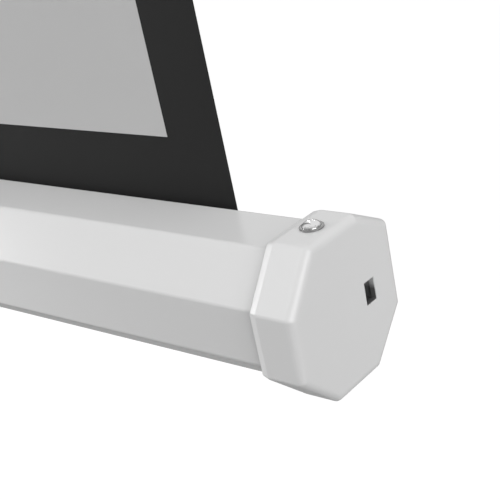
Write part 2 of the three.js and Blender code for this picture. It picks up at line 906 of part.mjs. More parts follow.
function addRoller(caseGroup) {
  const group = groupAt(caseGroup, 0, rollerY, rollerZ);
  addPiece(group, "roller_tube", rollerTube(), zinc);
  addPiece(group, "fabric_roll", fabricRoll(), cloth);
  addPiece(group, "spring_plug", springPlug(), blackPlastic);
  addPiece(group, "idler_plug", mirroredX(idlerPlug()), blackPlastic);
  addPiece(group, "spring_shaft", springShaft(), zinc);
  addPiece(group, "spring_anchor", springAnchor(), blackPlastic);
  addPiece(group, "roller_spring", rollerSpring(), zinc);
}

function addSlat(caseGroup) {
  addPiece(caseGroup, "top_slat", topSlat(), aluminium);
  addPiece(caseGroup, "slat_cap_right", slatCap(), blackPlastic);
  addPiece(caseGroup, "slat_cap_left", mirroredX(slatCap()), blackPlastic);
  addPiece(caseGroup, "pull_handle", pullHandle(), blackPlastic);
  addPiece(caseGroup, "slat_hook", slatHook(), zinc);
}

function addCarriage(screen) {
  const group = groupAt(screen, 0, 0, pivotZ);
  addPiece(group, "carriage", carriage(), blackPlastic);
  addPiece(group, "swivel_bolt", swivelBolt(), zinc);
  addPiece(group, "swivel_washer", swivelWasher(), blackPlastic);
  const knob = lockKnob(poleHalf, carriageHalf + knobBossLength);
  addPiece(group, "carriage_knob", knob, blackPlastic);
}

function addPoles(screen) {
  const outer = squareTube(poleHalf, poleWall, poleCornerRadius, poleBottom, poleTop);
  addPiece(screen, "outer_pole", outer, whitePaint);
  const plugBody = tubeEnd(poleHalf, poleWall, poleCornerRadius, plugHeight);
  const plug = addPiece(screen, "pole_plug", plugBody, blackPlastic);
  plug.position.z = poleBottom;
  const clampGroup = groupAt(screen, 0, 0, poleTop);
  addPiece(clampGroup, "pole_clamp", poleClamp(), blackPlastic);
  const knobBody = lockKnob(innerHalf, clampHalf + knobBossLength);
  const knob = addPiece(clampGroup, "clamp_knob", knobBody, blackPlastic);
  knob.position.z = clampAbove / 2;
  const inner = squareTube(innerHalf, innerWall, innerCornerRadius, innerBottom, innerTop);
  addPiece(screen, "inner_pole", inner, aluminium);
  const bush = addPiece(screen, "pole_bush", poleBush(), blackPlastic);
  bush.position.z = innerBottom;
  const capBody = tubeEnd(innerHalf, innerWall, innerCornerRadius, plugHeight);
  const cap = addPiece(screen, "pole_cap", capBody, blackPlastic);
  cap.rotation.x = Math.PI;
  cap.position.z = innerTop;
  addPiece(screen, "top_hook", topHook(), zinc);
}

function addTripod(screen) {
  const hub = addPiece(screen, "leg_hub", legHub(), blackPlastic);
  hub.position.z = hubPivotZ;
  const collarPiece = addPiece(screen, "brace_collar", runner(), blackPlastic);
  collarPiece.position.z = runnerZ;
  ["rear", "right", "left"].forEach((side, i) => {
    const bearer = groupAt(screen);
    bearer.rotation.z = legDirections[i];
    const pin = addPiece(bearer, side + "_leg_pin", hubPin(), zinc);
    pin.position.set(pivotRadius, 0, hubPivotZ);
    const collarRivet = addPiece(bearer, side + "_collar_rivet", braceRivet(lugFar), zinc);
    collarRivet.position.set(pivotRadius, 0, runnerZ);
    const leg = groupAt(bearer, pivotRadius, 0, hubPivotZ);
    leg.rotation.y = -legAngle;
    addPiece(leg, side + "_leg", legTube(), whitePaint);
    addPiece(leg, side + "_foot", legFoot(), rubber);
    const strap = groupAt(bearer, pivotRadius, 0, runnerZ);
    strap.rotation.y = -braceAngle;
    addPiece(strap, side + "_brace", brace(), zinc);
    const legRivet = addPiece(strap, side + "_brace_rivet", braceRivet(braceFar), zinc);
    legRivet.position.z = -braceLength;
  });
}

// The origin is under the middle of the whole screen, on the floor.
function centre(screen) {
  const box = new THREE.Box3().setFromObject(screen, true);
  screen.position.set(-(box.min.x + box.max.x) / 2, -(box.min.y + box.max.y) / 2, -box.min.z);
}

const screen = new THREE.Group();
const caseGroup = addCase(screen);
addRoller(caseGroup);
addSlat(caseGroup);
addCarriage(screen);
addPoles(screen);
addTripod(screen);
centre(screen);

export default screen;
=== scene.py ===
"""Pull-up projection screen on a folding tripod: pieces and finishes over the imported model."""

import json
import math

import bmesh
import bpy
from mathutils import Matrix, Vector
from mathutils.geometry import tessellate_polygon

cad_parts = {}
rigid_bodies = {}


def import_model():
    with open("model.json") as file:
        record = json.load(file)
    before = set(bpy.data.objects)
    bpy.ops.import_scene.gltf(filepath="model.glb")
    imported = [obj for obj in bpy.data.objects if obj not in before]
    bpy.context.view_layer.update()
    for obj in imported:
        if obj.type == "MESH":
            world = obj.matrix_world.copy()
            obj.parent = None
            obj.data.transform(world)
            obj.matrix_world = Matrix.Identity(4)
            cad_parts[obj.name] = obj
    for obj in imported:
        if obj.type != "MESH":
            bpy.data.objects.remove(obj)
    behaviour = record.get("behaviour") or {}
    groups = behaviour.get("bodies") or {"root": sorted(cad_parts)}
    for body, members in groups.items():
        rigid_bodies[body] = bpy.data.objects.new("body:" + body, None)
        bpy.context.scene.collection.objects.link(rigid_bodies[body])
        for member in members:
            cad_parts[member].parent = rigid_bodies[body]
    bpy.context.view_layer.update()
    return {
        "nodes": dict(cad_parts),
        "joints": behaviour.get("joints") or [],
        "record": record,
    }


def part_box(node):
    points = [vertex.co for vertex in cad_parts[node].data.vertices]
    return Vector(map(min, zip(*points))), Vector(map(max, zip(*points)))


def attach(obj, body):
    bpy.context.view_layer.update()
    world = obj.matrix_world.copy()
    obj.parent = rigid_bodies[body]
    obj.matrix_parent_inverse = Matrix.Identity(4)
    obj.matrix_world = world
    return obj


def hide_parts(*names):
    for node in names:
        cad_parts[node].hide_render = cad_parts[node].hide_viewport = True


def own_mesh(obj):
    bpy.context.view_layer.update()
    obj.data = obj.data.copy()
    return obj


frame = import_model()
nodes = frame["nodes"]

mm = 0.001

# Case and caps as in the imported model, but for the winding hole and the lower front corner,
# which were measured again in the photograph
case_half = 36 * mm
case_wall = 1.2 * mm
case_corner = 3 * mm
shoulder_share = 0.667
brow_share = 0.475
bend_share = 0.358
sill_share = 0.45
cap_half = 41 * mm
cap_corner = 3.4 * mm
cap_edge = 4.2 * mm
cap_wall = 2.6 * mm
least_corner = 0.4 * mm
hole_half_width = 4 * mm
hole_half_height = 6 * mm
slot_half = 3.5 * mm

# Back from the cap's inner end, and inwards from its side, in mm
rim_profile = ((0, 1.9), (0.12, 1.5), (0.4, 1.2), (0.8, 1.02), (4, 0.14), (4.5, 0.03), (5.2, 0))
# Back from the cap's face, and outwards from the winding hole's side
hole_profile = ((0, 0.25 * mm), (0.1 * mm, 0.08 * mm), (0.3 * mm, 0), (cap_wall, 0))
hole_corner = 0.35 * mm
liner_front, liner_back = 0.3 * mm, 2.85 * mm
liner_skin, liner_bore = -0.03 * mm, -0.31 * mm
liner_corner = 0.3 * mm

# Cloth
border = 39 * mm
view_height = 915 * mm
view_above_axis = 66.4 * mm
thread = 0.55 * mm


def centre_of(node):
    low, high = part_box(node)
    return (low + high) / 2


cap_low, cap_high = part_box("end_cap_right")
case_centre = centre_of("end_cap_right")
roller_centre = centre_of("roller_tube")
shell_low, shell_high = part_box("case_shell")
cloth_low, cloth_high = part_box("screen_fabric")
view_low_on_cloth = case_centre.z + view_above_axis - cloth_low.z
screw_right, screw_left = centre_of("cap_screw_right"), centre_of("cap_screw_left")
screw_radius = 5.9 * mm


class Socket:
    """An output of a node; Python's operators put Math nodes behind it."""

    def __init__(self, tree, link):
        self.tree = tree
        self.link = link

    def maths(self, operation, first, second):
        settings = {"operation": operation}
        return self.tree.node("ShaderNodeMath", settings, {0: first, 1: second})

    def __add__(self, other):
        return self.maths("ADD", self, other)

    def __sub__(self, other):
        return self.maths("SUBTRACT", self, other)

    def __mul__(self, other):
        return self.maths("MULTIPLY", self, other)

    def __rsub__(self, other):
        return self.maths("SUBTRACT", other, self)

    def __abs__(self):
        return self.maths("ABSOLUTE", self, 0)

    def __gt__(self, other):
        return self.maths("GREATER_THAN", self, other)

    def __lt__(self, other):
        return self.maths("LESS_THAN", self, other)

    __radd__ = __add__
    __rmul__ = __mul__


class Tree:
    """A shader or geometry tree that is written one node at a time."""

    def __init__(self, nodes_and_links):
        self.made = nodes_and_links

    def node(self, kind, settings, inputs, output=0):
        made = self.made.nodes.new(kind)
        stops = settings.pop("stops", None)
        for key, value in settings.items():
            setattr(made, key, value)
        if stops:
            ramp = made.color_ramp.elements
            while len(ramp) < len(stops):
                ramp.new(1)
            for element, (place, shade) in zip(ramp, stops):
                element.position = place
                element.color = (shade, shade, shade, 1)
        for key, value in inputs.items():
            if isinstance(value, Socket):
                self.made.links.new(value.link, made.inputs[key])
            else:
                made.inputs[key].default_value = value
        return Socket(self, made.outputs[output])

    def sine(self, value):
        return self.node("ShaderNodeMath", {"operation": "SINE"}, {0: value})

    def coordinates(self):
        return self.node("ShaderNodeTexCoord", {}, {}, "Object")

    def parts(self, vector):
        split = self.node("ShaderNodeSeparateXYZ", {}, {0: vector}).link.node
        return [Socket(self, output) for output in split.outputs]

    def noise(self, vector, size, detail=2):
        inputs = {"Vector": vector, "Scale": 1 / size, "Detail": detail}
        return self.node("ShaderNodeTexNoise", {}, inputs, "Fac")

    def stretched(self, vector, scale):
        return self.node("ShaderNodeVectorMath", {"operation": "MULTIPLY"}, {0: vector, 1: scale})

    def bump(self, height, depth):
        inputs = {"Height": height, "Distance": depth, "Strength": 1}
        return self.node("ShaderNodeBump", {}, inputs)

    def blend(self, share, first, second):
        inputs = {"Factor": share, 6: first, 7: second}
        return self.node("ShaderNodeMix", {"data_type": "RGBA"}, inputs, 2)

    def ramp(self, value, stops):
        return self.node("ShaderNodeValToRGB", {"stops": stops}, {"Fac": value})


def finish(name, **constants):
    """A material with its tree and its Principled shader; the constants are named after sockets."""
    material = bpy.data.materials.new(name)
    material.use_nodes = True
    shader = material.node_tree.nodes["Principled BSDF"]
    for key, value in constants.items():
        shader.inputs[key.replace("_", " ")].default_value = value
    return material, Tree(material.node_tree), shader


def feed(tree, shader, **sockets):
    for key, socket in sockets.items():
        tree.made.links.new(socket.link, shader.inputs[key.replace("_", " ")])


def grey(value):
    return (value, value, value, 1)


def enamel(name, shade, roughness):
    """Stoved white enamel on steel: faint orange peel and patches that are a little less shiny."""
    material, tree, shader = finish(name, Specular_IOR_Level=0.25)
    place = tree.coordinates()
    cloud = tree.noise(place, 90 * mm)
    peel = tree.noise(place, 1.6 * mm)
    light, dark = grey(shade * 1.01), grey(shade * 0.985)
    feed(
        tree,
        shader,
        Base_Color=tree.blend(cloud, dark, light),
        Roughness=tree.noise(place, 60 * mm) * 0.06 + (roughness - 0.03),
        Normal=tree.bump(peel, 0.004 * mm),
    )
    return material


def moulded(name, shade, roughness, grain=0.5 * mm, depth=0.01 * mm, patch=0.06):
    """Injection-moulded plastic with a fine spark-eroded grain."""
    material, tree, shader = finish(name)
    place = tree.coordinates()
    cloud = tree.noise(place, 25 * mm)
    feed(
        tree,
        shader,
        Base_Color=tree.blend(cloud, grey(shade * (1 - patch)), grey(shade * (1 + patch))),
        Roughness=tree.noise(place, 12 * mm) * 0.08 + (roughness - 0.04),
        Normal=tree.bump(tree.noise(place, grain), depth),
    )
    return material


def hole_shading(name, low, high, roughness):
    """Plastic round the winding hole with painted shade: dark below, lighter and greyer towards its
    top.
    """
    material, tree, shader = finish(name)
    place = tree.coordinates()
    height = tree.parts(place)[2]
    cloud = tree.noise(place, 2 * mm)
    # Painted shade: the colour is darkest below a line just under the roller's axis and lightens
    # over 4 mm above it.
    shade_top, fade = roller_centre.z - 0.6 * mm, 4 * mm
    lit_share = (height - shade_top) * (1 / fade) + (cloud - 0.5) * 0.4
    feed(
        tree,
        shader,
        Base_Color=tree.ramp(lit_share, [(0.0, low), (1.0, high)]),
        Roughness=cloud * 0.2 + (roughness - 0.1),
        Normal=tree.bump(tree.noise(place, 0.5 * mm), 0.01 * mm),
    )
    return material


def metal(name, shade, roughness, drawn=(1, 1, 1)):
    """Bare or plated metal; drawn gives how fast its fine lines change along x, y and z."""
    material, tree, shader = finish(name, Metallic=1.0)
    place = tree.coordinates()
    lines = tree.noise(tree.stretched(place, drawn), 0.6 * mm, 4)
    spangle = tree.noise(place, 7 * mm)
    feed(
        tree,
        shader,
        Base_Color=tree.blend(spangle, grey(shade * 0.95), grey(shade * 1.05)),
        Roughness=lines * 0.12 + (roughness - 0.06),
        Normal=tree.bump(lines, 0.004 * mm),
    )
    return material


def screw_chrome(name, polished, ring_dark, reach):
    """Chrome of the cap screws: polished on the dome, with painted dark reflection and shade as a
    darker, rougher collar round it.
    The two screws stand at equal distances from the middle of the case."""
    material, tree, shader = finish(name, Metallic=1.0)
    place = tree.coordinates()
    x, y, _ = tree.parts(place)
    across = abs(x) - screw_right.x
    along = y - screw_right.y
    out = (across * across + along * along) * (1 / reach**2)
    streaks = tree.noise(place, 0.9 * mm, 3)
    # Painted dark reflection and shade: the colour darkens from the dome out to the collar.
    ring_share = out + (streaks - 0.5) * 0.5
    dome, collar = 0.45, 0.75
    feed(
        tree,
        shader,
        Base_Color=tree.ramp(ring_share, [(dome, polished), (collar, ring_dark)]),
        Roughness=tree.ramp(ring_share, [(dome, 0.07), (collar, 0.2)]),
        Normal=tree.bump(streaks, 0.003 * mm),
    )
    return material


def screen_cloth():
    """Coated glass-fibre cloth: light viewing area, black border in front, black behind.
    Its map runs in metres from the lower left corner of the cloth."""
    material, tree, shader = finish("coated_cloth", Specular_IOR_Level=0.2, Sheen_Weight=0.03)
    flat = tree.node("ShaderNodeUVMap", {"uv_map": "cloth"}, {})
    across, up, _ = tree.parts(flat)
    width = cloth_high.x - cloth_low.x
    low = view_low_on_cloth
    inside = (across > border) * (across < width - border) * (up > low) * (up < low + view_height)
    facing = tree.parts(tree.node("ShaderNodeNewGeometry", {}, {}, "Normal"))[1]
    front = facing < 0
    turn = 2 * math.pi / thread
    weave = tree.sine(across * turn) * tree.sine(up * turn)
    cloud = tree.noise(flat, 120 * mm)
    light = tree.blend(cloud, grey(0.55), grey(0.575))
    black = tree.blend(cloud, grey(0.0135), grey(0.0155))
    feed(
        tree,
        shader,
        Base_Color=tree.blend(inside * front, black, light),
        Roughness=weave * 0.05 + 0.72,
        Normal=tree.bump(weave, 0.02 * mm),
    )
    return material


white_enamel = enamel("white_enamel", 0.695, 0.22)
white_moulding = moulded("white_moulding", 0.70, 0.3, 0.8 * mm, 0.005 * mm, 0.008)
black_moulding = moulded("black_moulding", 0.022, 0.48)
foot_rubber = moulded("foot_rubber", 0.018, 0.8, 0.7 * mm, 0.03 * mm)
# The hole's colour is painted shade, from 0.12 at its bottom to 0.6 at its top.
hole_painted_shade = hole_shading("hole_painted_shade", 0.12, 0.6, 0.5)
# The collar's 0.3 is painted dark reflection and shade; the dome's 0.72 is the chrome.
screw_finish = screw_chrome("screw_chrome", 0.72, 0.3, screw_radius)
zinc_plate = metal("zinc_plate", 0.52, 0.36)
drawn_aluminium = metal("drawn_aluminium", 0.66, 0.3, (0.02, 1, 1))
pole_aluminium = metal("pole_aluminium", 0.66, 0.3, (1, 1, 0.02))
cloth_finish = screen_cloth()

finishes = {
    "white_paint": white_enamel,
    "white_plastic": white_moulding,
    "chrome": screw_finish,
    "zinc": zinc_plate,
    "black_plastic": black_moulding,
    "rubber": foot_rubber,
    "aluminium": drawn_aluminium,
    "screen_cloth": cloth_finish,
}
slots = {entry["node"]: entry["material_slot"] for entry in frame["record"]["subparts"]}
for node, piece in nodes.items():
    piece.data.materials.clear()
    piece.data.materials.append(finishes[slots[node]])
nodes["inner_pole"].data.materials[0] = pole_aluminium
# The bearings carry the hole's painted shade too.
for node in ("bearing_right", "bearing_left"):
    nodes[node].data.materials[0] = hole_painted_shade
bodies = frame["record"]["behaviour"]["bodies"]
body_of = {node: body for body, members in bodies.items() for node in members}


def octagon(half):
    """Section of the case as (y, z) corners about its axis: its shoulder behind is raised, its
    upper front steep and its lower front corner low."""
    side = half * math.tan(math.pi / 8)
    return [
        Vector((-side, -half)),
        Vector((side, -half)),
        Vector((half, -side)),
        Vector((half, half * shoulder_share)),
        Vector((side, half)),
        Vector((-half * brow_share, half)),
        Vector((-half, half * bend_share)),
        Vector((-half, -half * sill_share)),
    ]


def inset(corners, depth):
    """The same polygon with every side moved inwards; corners run anticlockwise."""
    moved = []
    for i, corner in enumerate(corners):
        before = (corner - corners[i - 1]).normalized()
        after = (corners[(i + 1) % len(corners)] - corner).normalized()
        normals = Vector((-before.y, before.x)), Vector((-after.y, after.x))
        bisector = (normals[0] + normals[1]).normalized()
        moved.append(corner + bisector * (depth / bisector.dot(normals[0])))
    return moved


def rounded(corners, radius, steps=8):
    """The polygon with an arc in place of each corner."""
    points = []
    for i, corner in enumerate(corners):
        before = (corners[i - 1] - corner).normalized()
        after = (corners[(i + 1) % len(corners)] - corner).normalized()
        half = math.acos(max(-1, min(1, before.dot(after)))) / 2
        start = corner + before * (radius / math.tan(half))
        centre = corner + (before + after).normalized() * (radius / math.sin(half))
        spoke = start - centre
        for k in range(steps + 1):
            turn = (math.pi - 2 * half) * k / steps
            swung = Matrix.Rotation(turn, 2) @ spoke
            points.append(centre + swung)
    return points


def loop_at(points, x, y, z):
    return [Vector((x, y + p.x, z + p.y)) for p in points]


def bridge(shape, first, second):
    """Quads between two rings of vertices; the shape's outside is on the right of the way there."""
    count = len(first)
    for i in range(count):
        j = (i + 1) % count
        shape.faces.new((first[i], first[j], second[j], second[i]))


def ring(shape, points):
    return [shape.verts.new(p) for p in points]


def flat_with_hole(shape, outer, inner, towards):
    """A flat face between two rings, turned towards a direction."""
    rings = [[v.co for v in outer], [v.co for v in inner]]
    both = list(outer) + list(inner)
    for triangle in tessellate_polygon(rings):
        corners = [both[i] for i in triangle]
        normal = (corners[1].co - corners[0].co).cross(corners[2].co - corners[0].co)
        if normal.dot(towards) < 0:
            corners.reverse()
        shape.faces.new(corners)


def piece_of(name, shape, material, body, slot, replaced=(), smooth=30, outwards=True):
    """A finished object from a bmesh: smooth but for its edges, on its body, for its CAD nodes."""
    mesh = bpy.data.meshes.new(name)
    if outwards:
        bmesh.ops.recalc_face_normals(shape, faces=shape.faces)
    shape.to_mesh(mesh)
    shape.free()
    mesh.materials.append(material)
    mesh.shade_smooth()
    mesh.set_sharp_from_angle(angle=math.radians(smooth))
    made = bpy.data.objects.new(name, mesh)
    bpy.context.scene.collection.objects.link(made)
    even = made.modifiers.new("even_shading", "WEIGHTED_NORMAL")
    even.keep_sharp = True
    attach(made, body)
    if replaced:
        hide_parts(*replaced)
    return made


def key_hole(x, out, radius):
    """The winding hole's outline at a place along the case, moved outwards a little."""
    corners = [
        Vector((-hole_half_width, -hole_half_height)),
        Vector((hole_half_width, -hole_half_height)),
        Vector((hole_half_width, hole_half_height)),
        Vector((-hole_half_width, hole_half_height)),
    ]
    points = rounded(inset(corners, -out), radius, 3)
    return loop_at(points, x, roller_centre.y, roller_centre.z)


def end_cap(side):
    """Moulded end cap with a round face edge, an eased rim and the hole for a winding key."""
    face_x = side * cap_high.x
    depth = cap_high.x - cap_low.x
    y, z = case_centre.y, case_centre.z
    outline = octagon(cap_half)
    shape = bmesh.new()

    def outer(back, inwards):
        corner = max(cap_corner - inwards, least_corner)
        points = rounded(inset(outline, inwards), corner)
        return ring(shape, loop_at(points, face_x - side * back, y, z))

    rings = []
    steps = 8
    for back, inwards in rim_profile:
        rings.append(outer(depth - back * mm, inwards * mm))
    for k in range(steps + 1):
        turn = math.pi / 2 * k / steps
        rings.append(outer(cap_edge * (1 - math.sin(turn)), cap_edge * (1 - math.cos(turn))))
    rings.append(outer(0, cap_edge + 0.5 * mm))
    for first, second in zip(rings, rings[1:]):
        bridge(shape, first, second)

    cavity = rounded(octagon(case_half + 0.3 * mm), case_corner)
    mouth = ring(shape, loop_at(cavity, face_x - side * depth, y, z))
    floor = ring(shape, loop_at(cavity, face_x - side * cap_wall, y, z))
    bridge(shape, mouth, rings[0])
    bridge(shape, floor, mouth)

    tunnel = []
    for back, out in hole_profile:
        tunnel.append(ring(shape, key_hole(face_x - side * back, out, hole_corner + out)))
    for first, second in zip(tunnel, tunnel[1:]):
        bridge(shape, first, second)
    flat_with_hole(shape, rings[-1], tunnel[0], Vector((side, 0, 0)))
    flat_with_hole(shape, floor, tunnel[-1], Vector((-side, 0, 0)))
    word = "right" if side > 0 else "left"
    name = f"cap_{word}"
    node = f"end_cap_{word}"
    return piece_of(name, shape, white_moulding, "case", "white_plastic", [node], 50)


end_cap(1)
end_cap(-1)


def hole_liner(side):
    """Thin sleeve in the winding hole, from just behind the face to the bearing, coloured with the
    hole's painted shade.
    """
    word = "right" if side > 0 else "left"
    shape = bmesh.new()
    rings = []
    for back, out in (
        (liner_front, liner_skin),
        (liner_front, liner_bore),
        (liner_back, liner_bore),
        (liner_back, liner_skin),
    ):
        x = side * (cap_high.x - back)
        rings.append(ring(shape, key_hole(x, out, liner_corner + out / 2)))
    for first, second in zip(rings, rings[1:] + rings[:1]):
        bridge(shape, first, second)
    piece_of(f"hole_liner_{word}", shape, hole_painted_shade, "case", "black_plastic", (), 50)


hole_liner(1)
hole_liner(-1)


def case_housing():
    """Folded steel shell, one strip round the section that is open at the slot for the cloth."""
    y, z = case_centre.y, case_centre.z
    cloth_y = (cloth_low.y + cloth_high.y) / 2 - y
    corners = octagon(case_half)
    rear, top = corners[3], corners[4]
    slope = (top.y - rear.y) / (top.x - rear.x)
    edges_of_slot = (cloth_y - slot_half, cloth_y + slot_half)
    lips = [Vector((at, rear.y + slope * (at - rear.x))) for at in edges_of_slot]
    points = rounded(corners, case_corner)
    start = next(i for i, p in enumerate(points) if p.y > case_half / 2 and p.x < lips[0].x)
    path = [lips[0]] + points[start:] + points[:start]
    while path[-1].y > lips[1].y:
        path.pop()
    path.append(lips[1])
    lining = []
    for i, point in enumerate(path):
        before = path[max(i - 1, 0)]
        after = path[min(i + 1, len(path) - 1)]
        along = (after - before).normalized()
        lining.append(point + Vector((-along.y, along.x)) * case_wall)
    shape = bmesh.new()
    ends = []
    for x in (shell_low.x, shell_high.x):
        outer = ring(shape, loop_at(path, x, y, z))
        inner = ring(shape, loop_at(lining, x, y, z))
        ends.append((outer, inner))
        for i in range(len(path) - 1):
            shape.faces.new((outer[i], outer[i + 1], inner[i + 1], inner[i]))
    strip = [outer + inner[::-1] for outer, inner in ends]
    bridge(shape, *strip)
    return piece_of("case_housing", shape, white_enamel, "case", "white_paint", ["case_shell"])


case_housing()


def screen_sheet():
    """The stretched cloth, a thin slab with its own map in metres."""
    shape = bmesh.new()
    columns, rows = 26, 20
    front, back = [], []
    for j in range(rows + 1):
        z = cloth_low.z + (cloth_high.z - cloth_low.z) * j / rows
        for side, y in ((front, cloth_low.y), (back, cloth_high.y)):
            side.append([
                shape.verts.new((cloth_low.x + (cloth_high.x - cloth_low.x) * i / columns, y, z))
                for i in range(columns + 1)
            ])
    for j in range(rows):
        for i in range(columns):
            for side in (front, back):
                shape.faces.new((side[j][i], side[j][i + 1], side[j + 1][i + 1], side[j + 1][i]))
    edge = [(0, i) for i in range(columns)] + [(j, columns) for j in range(rows)]
    edge += [(rows, i) for i in range(columns, 0, -1)] + [(j, 0) for j in range(rows, 0, -1)]
    for k, (j, i) in enumerate(edge):
        n, m = edge[(k + 1) % len(edge)]
        shape.faces.new((front[j][i], front[n][m], back[n][m], back[j][i]))
    layer = shape.loops.layers.uv.new("cloth")
    for face in shape.faces:
        for corner in face.loops:
            at = corner.vert.co
            corner[layer].uv = (at.x - cloth_low.x, at.z - cloth_low.z)
    made = piece_of("cloth", shape, cloth_finish, "case", "screen_cloth", ["screen_fabric"])
    made.modifiers.clear()
    travel = abs(next(j for j in frame["joints"] if j["name"] == "screen_pull")["range_m"][0])
    height = cloth_high.z - cloth_low.z
    keep = 1 - travel / height
    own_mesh(made)
    return made


screen_sheet()


class Growth:
    """A Geometry Nodes tree with named inputs, and the plain meshes that come out of it."""

    def __init__(self, name, **inputs):
        self.group = bpy.data.node_groups.new(name, "GeometryNodeTree")
        self.tree = Tree(self.group)
        face = self.group.interface
        face.new_socket("Geometry", in_out="INPUT", socket_type="NodeSocketGeometry")
        self.ids = {}
        for key, kind in dict(inputs, Finish="Material").items():
            made = face.new_socket(key, in_out="INPUT", socket_type="NodeSocket" + kind)
            self.ids[key] = made.identifier
        face.new_socket("Geometry", in_out="OUTPUT", socket_type="NodeSocketGeometry")
        self.entry = self.group.nodes.new("NodeGroupInput")

    def given(self, key):
        return Socket(self.tree, self.entry.outputs[key])

    def ends_with(self, geometry):
        real = self.tree.node("GeometryNodeRealizeInstances", {}, {0: geometry})
        inputs = {"Geometry": real, "Material": self.given("Finish")}
        painted = self.tree.node("GeometryNodeSetMaterial", {}, inputs)
        output = self.group.nodes.new("NodeGroupOutput")
        self.group.links.new(painted.link, output.inputs[0])

    def grown(self, seed, **values):
        holder = bpy.data.objects.new("seed", seed)
        bpy.context.scene.collection.objects.link(holder)
        modifier = holder.modifiers.new("growth", "NODES")
        modifier.node_group = self.group
        for key, value in values.items():
            modifier[self.ids[key]] = value
        graph = bpy.context.evaluated_depsgraph_get()
        mesh = bpy.data.meshes.new_from_object(holder.evaluated_get(graph), depsgraph=graph)
        bpy.data.objects.remove(holder)
        shape = bmesh.new()
        shape.from_mesh(mesh)
        return shape


def points_mesh(places):
    mesh = bpy.data.meshes.new("places")
    mesh.from_pydata([tuple(place) for place in places], [], [])
    return mesh


def wound_cloth():
    """The last turns of cloth on the roller, one strip in a spiral that ends where it leaves."""
    inputs = {"Turns": "Float", "Core": "Float", "Outside": "Float", "Thickness": "Float"}
    winding = Growth("winding", **inputs, Width="Float", Centre="Vector", Turned="Vector")
    tree, given = winding.tree, winding.given
    spiral = tree.node(
        "GeometryNodeCurveSpiral",
        {},
        {
            "Resolution": 72,
            "Rotations": given("Turns"),
            "Start Radius": given("Core"),
            "End Radius": given("Outside"),
            "Height": 0.0,
        },
    )
    upright = tree.node("GeometryNodeSetCurveNormal", {"mode": "Z_UP"}, {"Curve": spiral})
    sizes = {"Width": given("Thickness"), "Height": given("Width")}
    strip = tree.node("GeometryNodeCurvePrimitiveQuadrilateral", {}, sizes)
    swept = tree.node(
        "GeometryNodeCurveToMesh",
        {},
        {"Curve": upright, "Profile Curve": strip, "Fill Caps": True},
    )
    inputs = {"Geometry": swept, "Translation": given("Centre"), "Rotation": given("Turned")}
    winding.ends_with(tree.node("GeometryNodeTransform", {}, inputs))

    thickness = 0.25 * mm
    core, outside = 10.16 * mm, 11 * mm
    width = cloth_high.x - cloth_low.x
    turns = 3
    axis_to_x = Matrix(((0, 0, 1), (1, 0, 0), (0, 1, 0))).to_euler()
    shape = winding.grown(
        points_mesh([(0, 0, 0)]),
        Turns=float(turns),
        Core=core,
        Outside=outside,
        Thickness=thickness,
        Width=width,
        Centre=tuple(roller_centre),
        Turned=tuple(axis_to_x),
        Finish=cloth_finish,
    )
    made = piece_of("cloth_roll", shape, cloth_finish, "roller", "screen_cloth", ["fabric_roll"])
    made.modifiers.clear()


wound_cloth()


def domed_head(radius, height, edge, shank, length, recess=0.0, depth=0.0, collar=0.0, sides=40):
    """Low dome on z = 0 with its shank below; the recess in its top, if any, is a cross.
    A collar is a ring round a narrower and higher dome. Each row of the profile has a radius,
    a height and how far it is drawn in towards a cross."""
    broken_edge = 0.15 * mm
    rows = [(shank, -length, 0), (shank, 0, 0), (radius - broken_edge, 0, 0)]
    rows += [(radius, broken_edge, 0), (radius, edge, 0)]
    if collar:
        rows += [(radius - 0.2 * mm, edge + broken_edge, 0)]
        radius -= collar
        rows += [(radius + 0.1 * mm, edge + 0.25 * mm, 0), (radius, edge + 0.45 * mm, 0)]
        edge += 0.9 * mm
        rows += [(radius, edge, 0)]
    rise = height - edge
    ball = (radius**2 + rise**2) / (2 * rise)

    def dome(r):
        return edge - (ball - rise) + math.sqrt(ball**2 - r**2)

    first, last = radius * 0.985, recess * 1.06 if recess else radius * 0.06
    steps = 7
    for k in range(steps + 1):
        r = first + (last - first) * k / steps
        rows.append((r, dome(r), 0))
    if recess:
        rows += [(recess, dome(recess) - 0.05 * mm, 1), (recess * 0.9, dome(recess) - 0.3 * mm, 1)]
        rows += [(recess * 0.45, dome(recess) - depth, 1)]
    shape = bmesh.new()
    rings = []
    for r, z, cross in rows:
        around = []
        for i in range(sides):
            turn = 2 * math.pi * i / sides
            share = 1 - cross * 0.45 * (1 - abs(math.cos(2 * turn)) ** 2)
            around.append(Vector((r * share * math.cos(turn), r * share * math.sin(turn), z)))
        rings.append(ring(shape, around))
    for first, second in zip(rings, rings[1:]):
        bridge(shape, first, second)
    shape.faces.new(rings[0][::-1])
    shape.faces.new(rings[-1])
    mesh = bpy.data.meshes.new("domed_head")
    bmesh.ops.recalc_face_normals(shape, faces=shape.faces)
    shape.to_mesh(mesh)
    shape.free()
    return mesh


def setting_out():
    """Tree that sets one fastener on each of the seed's points, turned to face one way."""
    set_out = Growth("fasteners", Fastener="Object", Turned="Vector")
    tree, given = set_out.tree, set_out.given
    one = {"Object": given("Fastener"), "As Instance": True}
    fastener = tree.node("GeometryNodeObjectInfo", {"transform_space": "ORIGINAL"}, one, "Geometry")
    inputs = {"Points": given("Geometry"), "Instance": fastener, "Rotation": given("Turned")}
    set_out.ends_with(tree.node("GeometryNodeInstanceOnPoints", {}, inputs))
    return set_out


fastener_growth = setting_out()


def fasteners(name, head, places, turned, material, body, slot, replaced=()):
    single = bpy.data.objects.new("single", head)
    bpy.context.scene.collection.objects.link(single)
    shape = fastener_growth.grown(
        points_mesh(places), Fastener=single, Turned=turned, Finish=material
    )
    bpy.data.objects.remove(single)
    return piece_of(name, shape, material, body, slot, replaced, 40)


